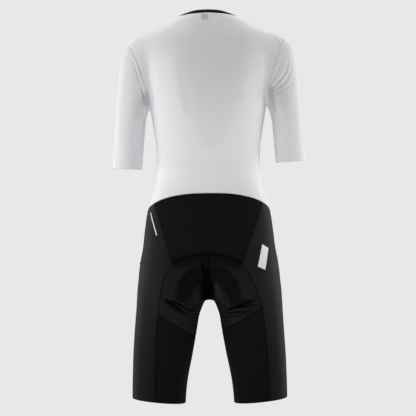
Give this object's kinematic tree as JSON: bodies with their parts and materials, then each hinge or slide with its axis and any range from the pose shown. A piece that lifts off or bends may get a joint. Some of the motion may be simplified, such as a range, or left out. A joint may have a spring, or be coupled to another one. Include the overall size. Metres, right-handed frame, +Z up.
{
  "type": "triathlon suit",
  "caption": "One-piece short-sleeved triathlon suit as worn, with a pale top, dark thigh-length shorts and a front zip.",
  "frame": {"origin": "between the shoulders at the base of the neck, where the suit is carried", "axes": "+X to the wearer's left, +Y to the back, +Z up"},
  "size_m": [0.4849, 0.2276, 0.9774],
  "materials": {
    "white_cloth": "smooth stretch knit, slight sheen",
    "black_cloth": "dense stretch knit, satin on the outer legs",
    "collar_cloth": "doubled stretch knit",
    "label": "printed patch, bare",
    "reflective": "reflective transfer, bare",
    "zip_plastic": "closed zip chain",
    "zip_metal": "enamelled zip metal"
  },
  "bodies": {
    "suit": {"back_panel": "white_cloth", "collar": "collar_cloth", "front_left": "white_cloth", "front_right": "white_cloth", "neck_label": "label", "outer_left": "black_cloth", "outer_right": "black_cloth", "pocket_welt": "black_cloth", "reflective_stripe": "reflective", "reflective_tab": "reflective", "seat_left": "black_cloth", "seat_right": "black_cloth", "sleeve_left": "white_cloth", "sleeve_right": "white_cloth", "thigh_left": "black_cloth", "thigh_right": "black_cloth", "yoke": "black_cloth", "zip_chain": "zip_plastic", "zip_slider": "zip_metal"},
    "zip_pull": {"zip_pull": "zip_metal"}
  },
  "joints": [
    {"name": "pull_flip", "type": "hinge", "parent": "suit", "child": "zip_pull", "pos_m": [0, -0.0443, -0.0518], "axis": [-1, 0, 0], "range_deg": [0, 120]}
  ]
}
